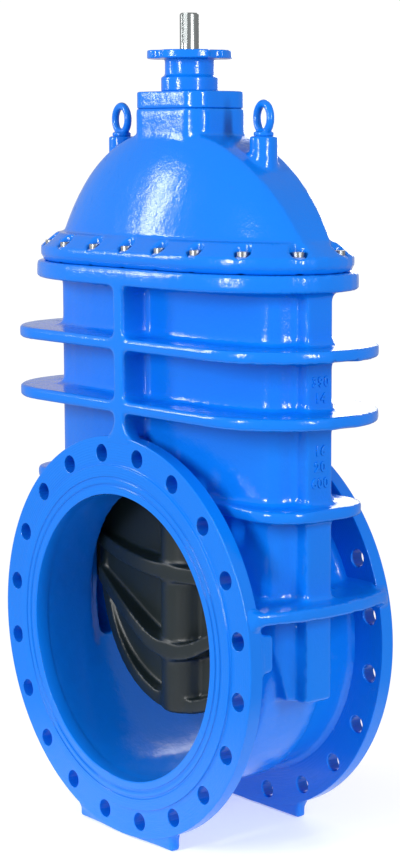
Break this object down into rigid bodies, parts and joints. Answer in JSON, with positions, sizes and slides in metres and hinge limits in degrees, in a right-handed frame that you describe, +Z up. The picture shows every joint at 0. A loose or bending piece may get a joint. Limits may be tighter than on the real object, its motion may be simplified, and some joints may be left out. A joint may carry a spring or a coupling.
{
  "type": "flanged gate valve",
  "caption": "Large flanged gate valve with a ribbed oval body, domed bonnet, top flange for an actuator and a rubber-coated wedge raised by a turning stem.",
  "frame": {"origin": "on the floor under the stem, midway between the two feet", "axes": "+Z up along the stem, Y along the pipe with the shown flange towards -Y, X across the pipe"},
  "size_m": [0.966, 0.39, 1.702],
  "materials": {
    "blue_epoxy_casting": "glossy fusion-bonded epoxy",
    "stainless": "turned stainless steel",
    "black_rubber": "moulded EPDM",
    "coated_iron": "cast iron under vulcanised rubber",
    "brass": "machined",
    "bearing_plastic": "machined",
    "slide_plastic": "moulded"
  },
  "bodies": {
    "valve": {"body": "blue_epoxy_casting", "bonnet": "blue_epoxy_casting", "bonnet_gasket": "black_rubber", "back_seal": "black_rubber", "bearing_cover": "blue_epoxy_casting", "cover_gasket": "black_rubber", "top_flange": "blue_epoxy_casting", "housing_gasket": "black_rubber", "thrust_washer_lower": "bearing_plastic", "thrust_washer_upper": "bearing_plastic", "seal_bush": "bearing_plastic", "seal_rings": "black_rubber", "wiper_ring": "black_rubber", "lifting_eye_left": "blue_epoxy_casting", "lifting_eye_right": "blue_epoxy_casting"},
    "stem": {"stem": "stainless"},
    "wedge": {"wedge": "coated_iron", "stem_nut": "brass", "guide_shoe_left": "slide_plastic", "guide_shoe_right": "slide_plastic"}
  },
  "joints": [
    {"name": "stem_turn", "type": "hinge", "parent": "valve", "child": "stem", "pos_m": [0, 0, 1.5], "axis": [0, 0, 1], "range_deg": [-4250, 17462]},
    {"name": "wedge_lift", "type": "slide", "parent": "valve", "child": "wedge", "axis": [0, 0, 1], "range_m": [-0.118, 0.485]}
  ],
  "couplings": [
    {"joint": "stem_turn", "follows": "wedge_lift", "rad_per_m": 628.32}
  ]
}
